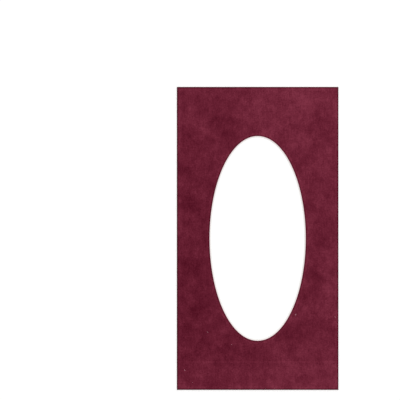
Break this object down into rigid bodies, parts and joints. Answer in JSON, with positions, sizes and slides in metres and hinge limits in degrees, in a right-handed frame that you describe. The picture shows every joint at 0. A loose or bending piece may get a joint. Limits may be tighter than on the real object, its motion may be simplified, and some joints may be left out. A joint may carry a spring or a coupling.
{
  "type": "oval picture mount",
  "caption": "Tall picture mount of suede-faced mat board with a central oval window, cut at a bevel so that the white core shows as a thin rim.",
  "frame": {"origin": "middle of the back face, at the centre of the oval window", "axes": "+X across the mount, +Y along its height towards the top edge, +Z out of the suede face"},
  "size_m": [0.2032, 0.381, 0.002],
  "materials": {
    "core_board": "matte",
    "suede_facing": "matte"
  },
  "bodies": {
    "root": {"core_board": "core_board", "suede_facing": "suede_facing"}
  },
  "joints": []
}
